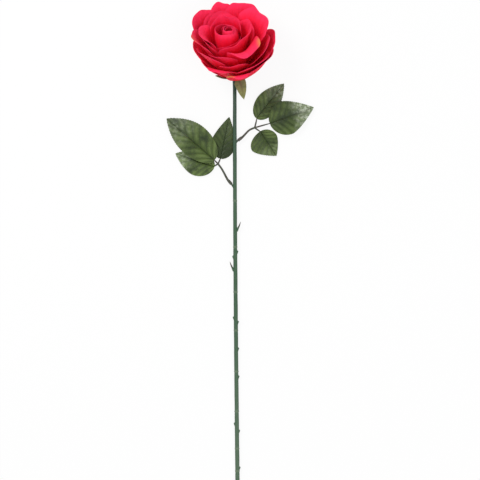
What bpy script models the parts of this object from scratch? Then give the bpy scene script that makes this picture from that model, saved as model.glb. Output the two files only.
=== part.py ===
"""An artificial rose: moulded stem on a core wire, cloth petal layers threaded on a peg, two leaf sprays.

The rose lies on its back. The stem runs along +Y from its cut end, whose centre is the origin, and +Z is up.
Lengths below are in millimetres unless the name says otherwise, and MM turns them into metres.
"""

import math

import bmesh
import bpy
from mathutils import Matrix, Vector

MM = 0.001

# Fits shared by every piece
CLEARANCE = 0.3
CLOTH = 0.4
LEAF_CLOTH = 0.5

# Stem: a moulded sheath over a core wire
STEM_RUN = 421.0
STEM_END_RADIUS = 2.35
STEM_NECK_RADIUS = 2.05
STEM_DRIFT = -3.0
STEM_LIFT = 2.5
NECK_BEND_RADIUS = 18.0
NECK_STRAIGHT = 3.9
WIRE_RADIUS = 1.0
BORE_END_GAP = 4.0
RING_PLACES = (10.8, 35.1, 75.5, 118.5, 163.0, 204.7, 253.5, 303.3)
RING_HEIGHT = 0.28
RING_LENGTH = 1.6
NUB_SIZE = 1.15
# distance along the stem and side, 1 for right and -1 for left
NUBS = (
    (14.0, 1),
    (54.0, 1),
    (61.7, -1),
    (112.7, 1),
    (143.0, 1),
    (172.0, 1),
    (176.6, -1),
    (242.6, -1),
    (248.0, 1),
)
THORNS = ((272.8, 1), (229.6, -1))
THORN_LENGTH = 11.0
THORN_RADIUS = 1.2
THORN_SLOPE_DEG = 25.0

# Bloom axis: its rise above the table and its lean to the left
BLOOM_RISE_DEG = 46.5
BLOOM_LEAN_DEG = 4.5
BLOOM_RADIUS = 45.0
BLOOM_HEIGHT = 67.0
BUD_SHIFT = (-8.0, 2.0)
EYE_SHIFT = (6.0, 0.5)
SHIFT_START = 12.0
# One side of the bloom stands more closed: how much narrower its foot is, and where
CLOSED_SHARE = 0.36
CLOSED_AZIMUTH_DEG = 252.0
CLOSED_REACH_DEG = 120.0
CLOSED_HEIGHT = 58.0

# Calyx cup, the peg that everything is threaded on, and the collars of the layers
CALYX_TOP = 3.2
CALYX_BOTTOM = -2.5
CALYX_RADIUS = 6.2
CALYX_WALL = 0.8
SOCKET_TOP = 1.2
PEG_RADIUS = 1.3
PEG_TOP = 34.0
COLLAR_GAP = 0.65
COLLAR_PITCH = 1.0
COLLAR_RADIUS = 6.0
FOLD_SHARE = 0.85

# Leaf stalks
STALK_RADIUS = 1.05
BRANCH_RADIUS = 0.8
RIB_RADIUS = 0.5
RIB_TIP_RADIUS = 0.3
SLEEVE_RADIUS = 1.7
SLEEVE_LENGTH = 7.0
STUB_RADIUS = 0.9
STUB_GRIP = 5.0

# Leaves
LEAF_ROUNDNESS = 0.5
LEAF_TEETH = 10
LEAF_TOOTH = 0.7
LEAF_RIB_SHARE = 0.7

# Meridians of the petal layers, outermost first. Each row holds the last three control points of a
# cubic curve as shares of the bloom's radius and height; the first point is on the layer's collar.
MERIDIANS = (
    ((0.60, 0.085), (0.82, 0.39), (1.00, 0.61)),
    ((0.53, 0.11), (0.77, 0.45), (0.97, 0.70)),
    ((0.48, 0.14), (0.72, 0.62), (0.97, 0.92)),
    ((0.39, 0.18), (0.63, 0.72), (0.91, 1.01)),
    ((0.32, 0.23), (0.47, 0.76), (0.66, 1.02)),
    ((0.27, 0.28), (0.42, 0.74), (0.38, 0.96)),
    ((0.19, 0.33), (0.36, 0.86), (0.20, 0.985)),
    ((0.075, 0.38), (0.20, 0.95), (0.04, 1.00)),
)


def clamp(value, low=0.0, high=1.0):
    return max(low, min(high, value))


def smooth(value):
    value = clamp(value)
    return value * value * (3.0 - 2.0 * value)


def bezier(points, t):
    s = 1.0 - t
    weights = (s * s * s, 3.0 * s * s * t, 3.0 * s * t * t, t * t * t)
    return sum((Vector(p) * w for p, w in zip(points, weights)), Vector((0.0,) * len(points[0])))


def clear_scene():
    for obj in list(bpy.data.objects):
        bpy.data.objects.remove(obj, do_unlink=True)


def material(name, colour, roughness, metallic=0.0):
    mat = bpy.data.materials.new(name)
    mat.use_nodes = True
    shader = mat.node_tree.nodes["Principled BSDF"]
    shader.inputs["Base Color"].default_value = (*colour, 1.0)
    shader.inputs["Roughness"].default_value = roughness
    shader.inputs["Metallic"].default_value = metallic
    return mat


def add_object(name, bm, mat, parent=None, smooth_angle=60.0):
    """Turns a bmesh, whose points are in millimetres, into a named object in metres."""
    bmesh.ops.scale(bm, vec=(MM, MM, MM), verts=bm.verts)
    bmesh.ops.recalc_face_normals(bm, faces=bm.faces)
    mesh = bpy.data.meshes.new(name)
    bm.to_mesh(mesh)
    bm.free()
    mesh.shade_smooth()
    mesh.set_sharp_from_angle(angle=math.radians(smooth_angle))
    obj = bpy.data.objects.new(name, mesh)
    bpy.context.scene.collection.objects.link(obj)
    if mat:
        mesh.materials.append(mat)
    obj.parent = parent
    return obj


def thicken(obj, thickness):
    """Gives a sheet of cloth its thickness, half on each side."""
    layer = obj.modifiers.new("thickness", "SOLIDIFY")
    layer.thickness = thickness * MM
    layer.offset = 0.0
    layer.use_even_offset = True


def combine(obj, other, operation):
    """Cuts or joins another solid, which stays in the file as a hidden guide."""
    other.hide_render = True
    other.display_type = "WIRE"
    step = obj.modifiers.new(other.name, "BOOLEAN")
    step.operation = operation
    step.object = other
    step.solver = "EXACT"


def frames_along(points):
    """Tangent and two cross directions at each point of a route, without twist."""
    tangents = []
    last = len(points) - 1
    for i in range(last + 1):
        tangents.append((points[min(i + 1, last)] - points[max(i - 1, 0)]).normalized())
    upright = abs(tangents[0].z) > 0.9
    side = tangents[0].cross(Vector((1.0, 0.0, 0.0) if upright else (0.0, 0.0, 1.0))).normalized()
    frames = []
    for tangent in tangents:
        side = (side - tangent * side.dot(tangent)).normalized()
        frames.append((tangent, side, side.cross(tangent)))
    return frames


def add_tube(bm, points, radii, sides):
    """Adds a closed tube along a route, with a flat cap at each end."""
    rings = []
    for point, radius, frame in zip(points, radii, frames_along(points)):
        ring = []
        for k in range(sides):
            angle = 2.0 * math.pi * k / sides
            offset = frame[1] * math.cos(angle) + frame[2] * math.sin(angle)
            ring.append(bm.verts.new(point + offset * radius))
        rings.append(ring)
    for low, high in zip(rings, rings[1:]):
        for k in range(sides):
            bm.faces.new((low[k], low[(k + 1) % sides], high[(k + 1) % sides], high[k]))
    bm.faces.new(rings[0])
    bm.faces.new(rings[-1][::-1])


def add_lathe(bm, profile, segments):
    """Adds a solid of revolution about Z from a closed profile of radius and height."""
    columns = []
    for k in range(segments):
        angle = 2.0 * math.pi * k / segments
        columns.append([bm.verts.new((r * math.cos(angle), r * math.sin(angle), z)) for r, z in profile])
    count = len(profile)
    for k in range(segments):
        here = columns[k]
        there = columns[(k + 1) % segments]
        for i in range(count):
            j = (i + 1) % count
            bm.faces.new((here[i], here[j], there[j], there[i]))


# Stem


def stem_centre(distance):
    """Centre of the straight run at a distance from the cut end."""
    share = clamp(distance / STEM_RUN)
    x = STEM_DRIFT * math.sin(share * math.pi / 2.0)
    z = STEM_LIFT * (1.0 - math.cos(share * math.pi)) / 2.0
    return Vector((x, distance, z))


def bloom_axis():
    rise = math.radians(BLOOM_RISE_DEG)
    lean = math.radians(BLOOM_LEAN_DEG)
    return Vector((-math.sin(lean) * math.cos(rise), math.cos(lean) * math.cos(rise), math.sin(rise)))


def neck_points(step_deg=8.0):
    """The bend that carries the stem from the table up into the calyx, and its straight end."""
    start = stem_centre(STEM_RUN)
    along = Vector((0.0, 1.0, 0.0))
    axis = bloom_axis()
    turn = along.angle(axis)
    inward = (axis - along * axis.dot(along)).normalized()
    count = math.ceil(math.degrees(turn) / step_deg)
    points = []
    for i in range(1, count + 1):
        angle = turn * i / count
        arc = along * math.sin(angle) + inward * (1.0 - math.cos(angle))
        points.append(start + arc * NECK_BEND_RADIUS)
    points.append(points[-1] + axis * NECK_STRAIGHT)
    return points


def stem_radius(distance):
    share = clamp(distance / STEM_RUN)
    return STEM_END_RADIUS + (STEM_NECK_RADIUS - STEM_END_RADIUS) * share


def stem_stations():
    """Distances along the run where the sheath has a ring of points, with the added radius there."""
    stations = [(0.0, 0.0)]
    spots = list(RING_PLACES) + [STEM_RUN]
    previous = 0.0
    for place in spots:
        gap = place - previous
        count = max(1, round(gap / 24.0))
        for i in range(1, count):
            stations.append((previous + gap * i / count, 0.0))
        if place < STEM_RUN:
            half = RING_LENGTH / 2.0
            stations.append((place - half, 0.0))
            stations.append((place - half * 0.4, RING_HEIGHT))
            stations.append((place + half * 0.4, RING_HEIGHT))
            stations.append((place + half, 0.0))
        previous = place
    stations.append((STEM_RUN, 0.0))
    return stations


def make_stem(mat):
    points = []
    radii = []
    for distance, extra in stem_stations():
        points.append(stem_centre(distance))
        radii.append(stem_radius(distance) + extra)
    neck = neck_points()
    points += neck
    radii += [STEM_NECK_RADIUS] * len(neck)
    bm = bmesh.new()
    add_tube(bm, points, radii, 10)
    square_cut_end(bm)
    stem = add_object("stem", bm, mat)

    bm = bmesh.new()
    for distance, side in NUBS:
        add_nub(bm, distance, side)
    for distance, side in THORNS:
        add_thorn(bm, distance, side)
    for spray in SPRAYS:
        add_stub(bm, spray)
    features = add_object("stem_features", bm, mat)
    combine(stem, features, "UNION")

    bm = bmesh.new()
    bore = core_route(-5.0, CLEARANCE)
    add_tube(bm, bore, [WIRE_RADIUS + CLEARANCE] * len(bore), 8)
    cutter = add_object("wire_bore", bm, None)
    combine(stem, cutter, "DIFFERENCE")
    return stem


def square_cut_end(bm):
    """Flattens the first cap, so that the cut is square to the Y axis."""
    for vert in bm.verts:
        if vert.co.y < 1.0:
            vert.co.y = 0.0


def core_route(start, extra):
    """Route of the core wire, or of its bore when it is given the extra length at the top."""
    count = 18
    points = [Vector((0.0, start, 0.0))]
    if start < 0.0:
        points.append(Vector((0.0, 0.0, 0.0)))
    points += [stem_centre(STEM_RUN * i / count) for i in range(1, count + 1)]
    neck = neck_points()
    axis = bloom_axis()
    points += neck[:-1]
    points.append(neck[-1] - axis * (BORE_END_GAP - extra))
    return points if BORE_END_GAP - extra < NECK_STRAIGHT else points[:-1]


def make_wire(mat):
    route = core_route(0.0, 0.0)
    bm = bmesh.new()
    add_tube(bm, route, [WIRE_RADIUS] * len(route), 8)
    square_cut_end(bm)
    return add_object("stem_wire", bm, mat)


def add_nub(bm, distance, side):
    """A low pointed scale on the sheath."""
    centre = stem_centre(distance)
    out = Vector((side, 0.0, 0.0))
    reach = stem_radius(distance)
    base = centre + out * (reach - NUB_SIZE * 0.6)
    tip = base + out * NUB_SIZE * 1.3 + Vector((0.0, NUB_SIZE * 1.4, 0.0))
    root = base - Vector((0.0, NUB_SIZE * 1.6, 0.0))
    middle = (base + tip) / 2.0
    add_tube(bm, [root, base, middle, tip], [0.2, NUB_SIZE * 0.8, NUB_SIZE * 0.75, 0.2], 6)


def add_thorn(bm, distance, side):
    """A long thorn that leaves the sheath at a flat angle."""
    slope = math.radians(THORN_SLOPE_DEG)
    centre = stem_centre(distance)
    ahead = Vector((side * math.sin(slope), math.cos(slope), 0.0))
    root = centre + Vector((side * stem_radius(distance) * 0.6, -2.0, 0.0))
    points = []
    radii = []
    for i in range(6):
        share = i / 5.0
        hook = Vector((side * 0.5 * math.sin(share * math.pi), 0.0, 0.3 * share))
        points.append(root + ahead * THORN_LENGTH * share + hook)
        radii.append(THORN_RADIUS * (1.0 - 0.8 * share ** 1.3))
    add_tube(bm, points, radii, 6)


# Bloom


def layer_meridian(depth):
    """Control points of the meridian at a layer depth, 0 for the outermost layer."""
    low = int(clamp(math.floor(depth), 0, len(MERIDIANS) - 2))
    share = depth - low
    points = [(COLLAR_RADIUS, collar_height(depth))]
    for near, far in zip(MERIDIANS[low], MERIDIANS[low + 1]):
        r = near[0] + (far[0] - near[0]) * share
        z = near[1] + (far[1] - near[1]) * share
        points.append((r * BLOOM_RADIUS, z * BLOOM_HEIGHT))
    return points


def collar_height(depth):
    """Height of a layer's collar on the peg; the sepals take the place before depth 0."""
    return CALYX_TOP + COLLAR_GAP + COLLAR_PITCH * (depth + 1.0)


def bloom_point(angle, depth, reach, roll=0.0, roll_start=1.0):
    """A point of the bloom in its own frame: Z up its axis, X to the right, Y to the back.

    The reach runs from 0 on the collar to 1 at the end of the meridian. Past roll_start the sheet
    leaves the meridian on an arc that turns outwards by roll degrees for each unit of reach.
    """
    points = layer_meridian(depth)
    r, z = bezier(points, min(reach, roll_start))
    if reach > roll_start:
        step = bezier(points, roll_start) - bezier(points, roll_start - 0.02)
        heading = math.atan2(step[1], step[0])
        length = (reach - roll_start) * step.length / 0.02
        turn = math.radians(roll) * (reach - roll_start)
        if turn > 1e-4:
            radius = length / turn
            r += radius * (math.sin(heading) - math.sin(heading - turn))
            z += radius * (math.cos(heading - turn) - math.cos(heading))
        else:
            r += length * math.cos(heading)
            z += length * math.sin(heading)
    off = abs(math.degrees(angle) % 360.0 - CLOSED_AZIMUTH_DEG)
    closed = CLOSED_SHARE * smooth(1.0 - off / CLOSED_REACH_DEG)
    r *= 1.0 - closed * (1.0 - 0.85 * smooth(z / CLOSED_HEIGHT))
    high = clamp((z - SHIFT_START) / (BLOOM_HEIGHT - SHIFT_START), 0.0, 1.1)
    pull = smooth((depth - 2.0) / 3.0) * high
    eye = smooth((depth - 5.0) / 2.0) * high
    x = r * math.cos(angle) + BUD_SHIFT[0] * pull + EYE_SHIFT[0] * eye
    y = r * math.sin(angle) + BUD_SHIFT[1] * pull + EYE_SHIFT[1] * eye
    return Vector((x, y, z))


class Lobe:
    """One petal of a die-cut layer, by hand-set values."""

    def __init__(
        self, azimuth, width, depth, reach=1.0, roll=0.0, start=1.0, twist=0.16, flat=0.0, drop=0.2, tilt=0.0
    ):
        self.azimuth = azimuth
        self.width = width
        self.depth = depth
        self.reach = reach
        self.roll = roll
        self.start = start
        self.twist = twist
        self.flat = flat
        self.drop = drop
        self.tilt = tilt


def lobe_width(lobe, seam, v):
    """Half width in degrees: the seam with its neighbours at the collar, then the petal's own shape."""
    waist = min(seam * 0.74, lobe.width * 0.7)
    if v < 0.14:
        return seam + (waist - seam) * smooth(v / 0.14)
    if v < 0.62:
        return waist + (lobe.width - waist) * smooth((v - 0.14) / 0.48)
    return lobe.width * (1.0 - 0.10 * smooth((v - 0.62) / 0.38))


def lobe_point(lobe, seam, layer, u, v):
    """A point of a petal: u from -1 to 1 across it, v from 0 at the collar to 1 at the rim."""
    open_up = smooth(v / 0.35)
    angle = lobe.azimuth + u * lobe_width(lobe, seam(u), v)
    depth = layer + (lobe.depth - layer) * open_up
    depth += lobe.twist * u * open_up + lobe.flat * (1.0 - u * u) * smooth(v / 0.6)
    reach = lobe.reach * v * (1.0 - lobe.drop * abs(u) ** 2.6 * v * v) * (1.0 + lobe.tilt * u * v * v)
    return bloom_point(math.radians(angle), depth, reach, lobe.roll * (1.0 - u ** 4), lobe.start)


def lobe_rows(lobe, body=6, fold=3):
    """Values of v for the rows of a petal: even up to where it starts to roll, then close together."""
    bend = min(lobe.start / lobe.reach, FOLD_SHARE)
    rows = [bend * j / body for j in range(body)]
    return rows + [bend + (1.0 - bend) * j / fold for j in range(fold + 1)]


def make_layer(name, layer, lobes, mat, parent, across=6):
    """One die-cut layer: a collar with a peg hole and its petals, as a single sheet."""
    bm = bmesh.new()
    count = len(lobes)
    hole = []
    rims = []
    for k, lobe in enumerate(lobes):
        before = (lobe.azimuth - lobes[k - 1].azimuth) % 360.0 / 2.0
        after = (lobes[(k + 1) % count].azimuth - lobe.azimuth) % 360.0 / 2.0

        def seam(u, before=before, after=after):
            return after if u > 0.0 else before

        rows = []
        for v in lobe_rows(lobe):
            row = []
            for i in range(across + 1):
                if v == 0.0 and i == across:
                    row.append(None)
                    continue
                u = 2.0 * i / across - 1.0
                row.append(bm.verts.new(lobe_point(lobe, seam, layer, u, v)))
            rows.append(row)
        rims.append(rows)
        for vert in rows[0][:-1]:
            flat = Vector((vert.co.x, vert.co.y, 0.0)).normalized() * (PEG_RADIUS + CLEARANCE)
            hole.append(bm.verts.new((flat.x, flat.y, vert.co.z)))
    for k, rows in enumerate(rims):
        rows[0][-1] = rims[(k + 1) % count][0][0]
        for low, high in zip(rows, rows[1:]):
            for i in range(across):
                bm.faces.new((low[i], low[i + 1], high[i + 1], high[i]))
    base = [vert for rows in rims for vert in rows[0][:-1]]
    for i in range(len(base)):
        j = (i + 1) % len(base)
        bm.faces.new((hole[i], hole[j], base[j], base[i]))
    layer_object = add_object(name, bm, mat, parent)
    thicken(layer_object, CLOTH)
    return layer_object


OUTER_LOBES = (
    Lobe(278, 26, -0.45, 1.10, roll=600, start=0.93, drop=0.30),
    Lobe(330, 42, 0.05, 1.02),
    Lobe(38, 42, -0.10, 0.94),
    Lobe(112, 44, -0.50, 0.92),
    Lobe(190, 40, 0.25, 0.70, twist=0.20),
)
SECOND_LOBES = (
    Lobe(243, 34, 0.85, 1.0, roll=420, start=0.84, drop=0.22),
    Lobe(312, 42, 0.95, 1.02, roll=60, start=0.8, twist=0.22),
    Lobe(6, 34, 0.85, 1.11, drop=0.24),
    Lobe(78, 42, 0.90, 1.0),
    Lobe(160, 42, 0.90, 0.96),
)
THIRD_LOBES = (
    Lobe(134, 30, 1.97, 1.10, drop=0.18),
    Lobe(215, 42, 2.0, 0.90, drop=0.16),
    Lobe(270, 40, 1.9, 0.80, roll=60, start=0.7),
    Lobe(345, 44, 1.90, 0.90),
    Lobe(66, 34, 2.15, 1.08, drop=0.14),
    Lobe(101, 26, 2.06, 1.08, drop=0.16),
)
FOURTH_LOBES = (
    Lobe(190, 42, 3.1, 0.945, roll=90, start=0.8, drop=0.12),
    Lobe(246, 42, 2.90, 0.84, roll=120, start=0.76),
    Lobe(306, 46, 3.50, 1.04, roll=390, start=0.80, drop=0.16),
    Lobe(30, 42, 3.1, 1.03, roll=110, start=0.84, drop=0.14),
    Lobe(112, 42, 3.12, 0.92, drop=0.16),
)
INNER_LOBES = (
    Lobe(302, 66, 4.0, 0.97, flat=0.2, drop=0.1, tilt=0.12),
    Lobe(20, 40, 3.95, 0.96),
    Lobe(100, 56, 3.95, 0.94),
    Lobe(200, 52, 3.98, 0.86),
)
CUP_LOBES = (
    Lobe(176, 62, 4.72, 1.00, roll=330, start=0.80, twist=0.1),
    Lobe(300, 78, 5.18, 0.84, twist=0.1, drop=0.1),
    Lobe(76, 74, 4.95, 1.12, twist=0.1, drop=0.18),
)


def make_wrap(name, mat, parent, first, last, start_deg, turns, reach, across, along=6):
    """A rolled petal of the bud: a sheet that winds inwards between two depths."""
    bm = bmesh.new()
    rows = []
    for j in range(along + 1):
        v = j / along
        row = []
        for i in range(across + 1):
            u = i / across
            angle = math.radians(start_deg + 360.0 * turns * u)
            ends = 0.14 * abs(2.0 * u - 1.0) ** 4
            depth = first + (last - first) * u
            wave = 0.02 * math.sin(3.0 * angle)
            row.append(bm.verts.new(bloom_point(angle, depth, 0.12 + (reach - 0.12 - ends + wave) * v)))
        rows.append(row)
    for low, high in zip(rows, rows[1:]):
        for i in range(across):
            bm.faces.new((low[i], low[i + 1], high[i + 1], high[i]))
    wrap = add_object(name, bm, mat, parent)
    thicken(wrap, CLOTH)
    return wrap


# Sepals: azimuth and depth; the first one hangs beside the stem, the others lie under the outer petals
SEPAL_REACH = 0.40
HANGING_SEPAL = ((13.5, 4.2), (15.5, -7.0), (17.5, -19.0))
SEPALS = ((300, -1.0), (8, -1.4), (80, -1.4), (152, -1.4), (204, -0.60))
SEPAL_WIDTH = 7.0


def sepal_point(azimuth, hanging, seat, u, v):
    """A point of a sepal, a narrow pointed lobe of the star."""
    half = math.radians(36.0) * COLLAR_RADIUS * (1.0 - smooth(v / 0.2))
    half += SEPAL_WIDTH * smooth(v / 0.3) * (1.0 - v ** 3.2)
    half = max(half, 0.25)
    angle = math.radians(azimuth)
    if not hanging:
        depth = -1.0 + (seat + 1.0) * smooth(v / 0.35)
        reach = SEPAL_REACH * v
        radius = bezier(layer_meridian(depth), reach)[0]
        return bloom_point(angle + u * half / radius, depth, reach)
    spine = bezier([(COLLAR_RADIUS, collar_height(-1.0))] + list(HANGING_SEPAL), v)
    spread = u * half
    if v == 0.0:
        angle += math.radians(36.0) * u
        spread = 0.0
    out = Vector((math.cos(angle), math.sin(angle), 0.0))
    side = Vector((-math.sin(angle), math.cos(angle), 0.0))
    return out * spine[0] + side * spread + Vector((0.0, 0.0, spine[1]))


def make_sepals(mat, parent, across=2, along=6):
    bm = bmesh.new()
    stars = []
    for k, (azimuth, seat) in enumerate(SEPALS):
        rows = []
        for j in range(along + 1):
            row = []
            for i in range(across + 1):
                if j == 0 and i == across:
                    row.append(None)
                    continue
                u = 2.0 * i / across - 1.0
                row.append(bm.verts.new(sepal_point(azimuth, k == 0, seat, u, j / along)))
            rows.append(row)
        stars.append(rows)
    hole = []
    count = len(stars)
    for rows in stars:
        for vert in rows[0][:-1]:
            flat = Vector((vert.co.x, vert.co.y, 0.0)).normalized() * (PEG_RADIUS + CLEARANCE)
            hole.append(bm.verts.new((flat.x, flat.y, vert.co.z)))
    for k, rows in enumerate(stars):
        rows[0][-1] = stars[(k + 1) % count][0][0]
        for low, high in zip(rows, rows[1:]):
            for i in range(across):
                bm.faces.new((low[i], low[i + 1], high[i + 1], high[i]))
    base = [vert for rows in stars for vert in rows[0][:-1]]
    for i in range(len(base)):
        j = (i + 1) % len(base)
        bm.faces.new((hole[i], hole[j], base[j], base[i]))
    sepals = add_object("sepals", bm, mat, parent)
    thicken(sepals, CLOTH)
    return sepals


def make_calyx(mat, parent):
    socket = STEM_NECK_RADIUS + CLEARANCE
    hole = PEG_RADIUS + CLEARANCE
    profile = (
        (socket, CALYX_BOTTOM),
        (socket + CALYX_WALL, CALYX_BOTTOM),
        (socket + CALYX_WALL * 1.6, CALYX_BOTTOM * 0.4),
        (CALYX_RADIUS * 0.86, CALYX_TOP * 0.45),
        (CALYX_RADIUS, CALYX_TOP * 0.9),
        (CALYX_RADIUS * 0.96, CALYX_TOP),
        (hole, CALYX_TOP),
        (hole, SOCKET_TOP),
        (socket, SOCKET_TOP),
    )
    bm = bmesh.new()
    add_lathe(bm, profile, 14)
    return add_object("calyx", bm, mat, parent, 40.0)


def make_core(mat, parent):
    """The peg through the layers, with the slim former that the bud is rolled on."""
    foot = SOCKET_TOP + CLEARANCE
    stations = (
        (foot, PEG_RADIUS),
        (collar_height(6.0), PEG_RADIUS),
        (PEG_TOP * 0.8, PEG_RADIUS),
        (PEG_TOP, 0.4),
    )
    bm = bmesh.new()
    add_tube(bm, [Vector((0.0, 0.0, z)) for z, r in stations], [r for z, r in stations], 10)
    return add_object("bud_core", bm, mat, parent)


# Leaves


class Leaf:
    """A printed leaf: where it starts and ends, its half widths, folds and heights."""

    def __init__(self, name, base, tip, left, right, heights, folds, belly, point):
        self.name = name
        self.base = Vector(base)
        self.tip = Vector(tip)
        self.left = left
        self.right = right
        self.heights = heights
        self.folds = folds
        self.belly = belly
        self.point = point


def leaf_half_width(leaf, t):
    """Outline of an ovate leaf, round up to its belly and then pointed, as a share of its half width."""
    if t < leaf.belly:
        return (1.0 - ((leaf.belly - t) / leaf.belly) ** 2) ** LEAF_ROUNDNESS
    return 1.0 - ((t - leaf.belly) / (1.0 - leaf.belly)) ** leaf.point


def leaf_point(leaf, t, c, tooth=0.0):
    """A point of a leaf: t from 0 at the base to 1 at the tip, c from -1 on its right to 1 on its left."""
    run = leaf.tip - leaf.base
    ahead = run.normalized()
    left = Vector((-ahead.y, ahead.x))
    half = (leaf.left if c > 0.0 else leaf.right) * leaf_half_width(leaf, t)
    fold = leaf.folds[0] if c > 0.0 else leaf.folds[1]
    place = leaf.base + run * t + left * c * half
    place += (left * math.copysign(1.0, c) + ahead * 0.8) * tooth
    low, middle, high = leaf.heights
    spine = low * (1.0 - t) ** 2 + 2.0 * middle * t * (1.0 - t) + high * t * t
    spread = abs(c) * half
    return Vector((place.x, place.y, spine + fold * spread * (1.0 - 0.35 * abs(c))))


LEAVES = (
    Leaf("left_leaf_end", (-24.7, 347.2), (-76.9, 392.6), 15.5, 19.0,
         (2.8, 6.0, 0.2), (0.12, 0.10), 0.45, 2.0),
    Leaf("left_leaf_outer", (-24.9, 340.2), (-67.3, 354.7), 15.8, 11.5,
         (-0.5, 0.4, -0.6), (0.08, -0.02), 0.42, 1.7),
    Leaf("left_leaf_inner", (-18.5, 349.0), (-8.9, 394.4), 13.6, 13.0,
         (-0.5, -0.4, 0.6), (0.10, -0.01), 0.37, 1.4),
    Leaf("right_leaf_top", (20.5, 392.6), (50.4, 430.5), 13.2, 11.6,
         (-0.4, 1.0, -0.4), (0.18, 0.02), 0.42, 1.8),
    Leaf("right_leaf_end", (34.8, 387.0), (82.7, 404.7), 18.0, 19.0,
         (2.6, 6.0, 0.5), (0.11, 0.11), 0.38, 1.4),
    Leaf("right_leaf_low", (24.8, 378.8), (42.2, 352.2), 12.4, 19.0,
         (-0.4, 0.4, -0.6), (0.02, 0.12), 0.40, 1.5),
)


def make_leaf(leaf, mat, across=2):
    """A V-folded sheet whose edge steps in and out in small teeth."""
    along = LEAF_TEETH * 2
    bm = bmesh.new()
    rows = []
    for j in range(along + 1):
        t = j / along
        tooth = LEAF_TOOTH if j % 2 else 0.0
        if j in (0, along):
            tooth = 0.0
        row = []
        for i in range(-across, across + 1):
            c = i / across
            edge = tooth if abs(i) == across else 0.0
            row.append(leaf_point(leaf, clamp(t, 0.012, 0.985), c, edge))
        rows.append([bm.verts.new(p) for p in row])
    for low, high in zip(rows, rows[1:]):
        for i in range(2 * across):
            bm.faces.new((low[i], low[i + 1], high[i + 1], high[i]))
    obj = add_object(leaf.name, bm, mat)
    thicken(obj, LEAF_CLOTH)
    return obj


class Spray:
    """A moulded stalk: where it leaves the stem, its route to the fork, and the leaves it carries."""

    def __init__(self, name, place, heading_deg, route, leaves):
        self.name = name
        self.place = place
        self.heading_deg = heading_deg
        self.route = route
        self.leaves = leaves


SPRAYS = (
    Spray("left_stalk", 317.0, 130.0, ((-16.6, 337.2, 1.6), (-21.0, 343.4, 1.0)), LEAVES[:3]),
    Spray("right_stalk", 366.0, 38.0, ((12.6, 379.8, 1.6), (18.6, 382.6, 1.0)), LEAVES[3:]),
)


def stub_line(spray):
    """Start of a leaf stub on the stem's centre line, its direction, and how far off its sleeve begins."""
    heading = math.radians(spray.heading_deg)
    ahead = Vector((math.cos(heading), math.sin(heading), 0.0))
    reach = stem_radius(spray.place) + CLEARANCE + SLEEVE_RADIUS * abs(ahead.y)
    return stem_centre(spray.place), ahead, reach / abs(ahead.x)


def add_stub(bm, spray):
    start, ahead, mouth = stub_line(spray)
    end = start + ahead * (mouth + STUB_GRIP)
    collar = start + ahead * (mouth - CLEARANCE)
    add_tube(bm, [start, collar, end], [SLEEVE_RADIUS, STUB_RADIUS, STUB_RADIUS], 8)


def rib_route(leaf, count=6):
    """The rib under a leaf, which keeps the clearance to the cloth above it."""
    points = []
    radii = []
    for i in range(count + 1):
        share = i / count
        radius = RIB_RADIUS + (RIB_TIP_RADIUS - RIB_RADIUS) * share
        top = leaf_point(leaf, 0.03 + (LEAF_RIB_SHARE - 0.03) * share, 0.0)
        drop = radius + LEAF_CLOTH / 2.0 + CLEARANCE * 1.4
        points.append(top - Vector((0.0, 0.0, drop)))
        radii.append(radius)
    return points, radii


def make_stalk(spray, mat):
    start, ahead, distance = stub_line(spray)
    mouth = start + ahead * distance
    sleeve_end = mouth + ahead * SLEEVE_LENGTH
    fork = Vector(spray.route[-1])
    middle = [Vector(p) for p in spray.route[:-1]]
    bm = bmesh.new()
    trunk = [mouth, mouth + ahead * SLEEVE_LENGTH * 0.6, sleeve_end] + middle + [fork]
    radii = [SLEEVE_RADIUS, SLEEVE_RADIUS * 0.95, STALK_RADIUS * 1.15]
    radii += [STALK_RADIUS] * (len(trunk) - len(radii))
    add_tube(bm, trunk, radii, 8)
    stalk = add_object(spray.name, bm, mat)

    for leaf in spray.leaves:
        rib, widths = rib_route(leaf)
        bm = bmesh.new()
        back = fork - (rib[0] - fork).normalized() * 0.1
        elbow = fork.lerp(rib[0], 0.5)
        elbow.z = rib[0].z + (fork.z - rib[0].z) * 0.2
        add_tube(bm, [back, elbow] + rib, [BRANCH_RADIUS * 1.1, BRANCH_RADIUS] + widths, 6)
        branch = add_object(leaf.name + "_rib", bm, mat)
        combine(stalk, branch, "UNION")

    bm = bmesh.new()
    hole = STUB_RADIUS + CLEARANCE
    bottom = start + ahead * (distance + STUB_GRIP + CLEARANCE)
    add_tube(bm, [start, bottom], [hole, hole], 8)
    socket = add_object(spray.name + "_socket", bm, None)
    combine(stalk, socket, "DIFFERENCE")
    return stalk


def bloom_empty():
    """The bloom's own frame, at the top of the neck."""
    axis = bloom_axis()
    lean = math.radians(BLOOM_LEAN_DEG)
    right = Vector((math.cos(lean), math.sin(lean), 0.0))
    back = axis.cross(right)
    frame = Matrix((right, back, axis)).transposed().to_4x4()
    seat = neck_points()[-1] - axis * (SOCKET_TOP - CLEARANCE)
    frame.translation = seat * MM
    empty = bpy.data.objects.new("bloom_frame", None)
    bpy.context.scene.collection.objects.link(empty)
    empty.matrix_world = frame
    return empty


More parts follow.
